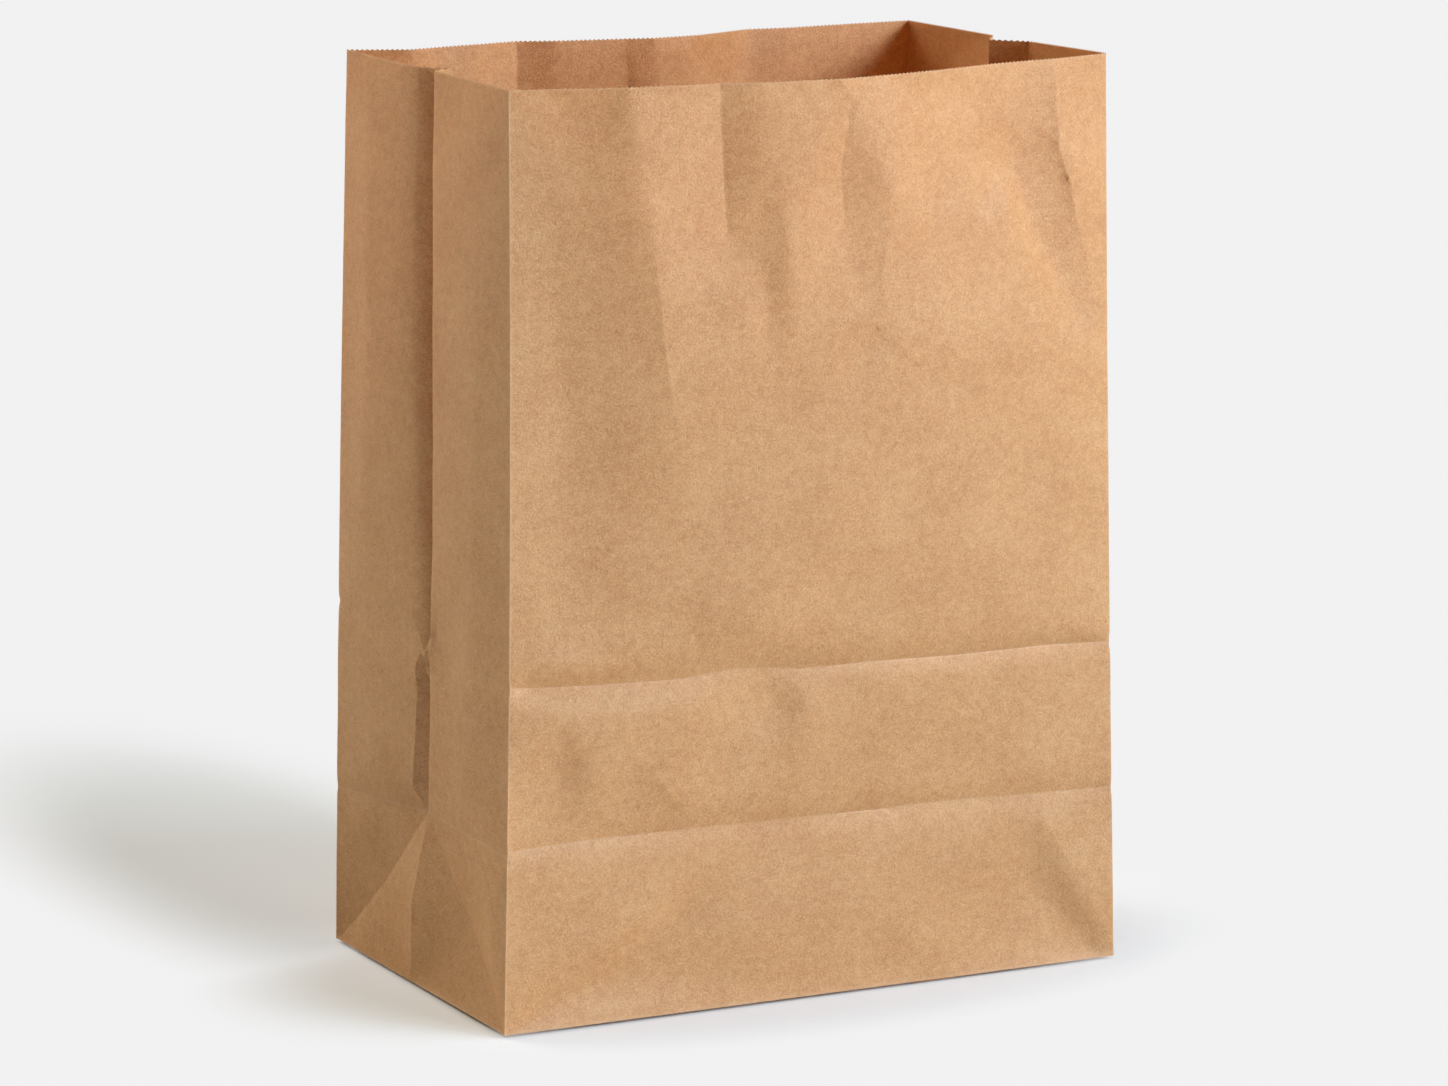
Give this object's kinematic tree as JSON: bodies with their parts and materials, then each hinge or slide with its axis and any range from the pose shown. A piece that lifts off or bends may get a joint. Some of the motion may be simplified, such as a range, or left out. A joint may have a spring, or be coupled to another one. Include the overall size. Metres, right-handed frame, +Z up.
{
  "type": "brown paper lunch bag",
  "caption": "Open kraft paper bag with two tucked side gussets, a folded glued block base and a pinked rim.",
  "frame": {"origin": "middle of the base rectangle, on the plane of the outer base flap that the bag stands on", "axes": "+Z up out of the mouth, X along the bag's width, the creased front panel faces -Y"},
  "size_m": [0.2082, 0.1391, 0.282],
  "materials": {
    "kraft_paper": "uncoated brown kraft, matt, fine fibres"
  },
  "bodies": {
    "root": {"paper_bag": "kraft_paper"}
  },
  "joints": []
}
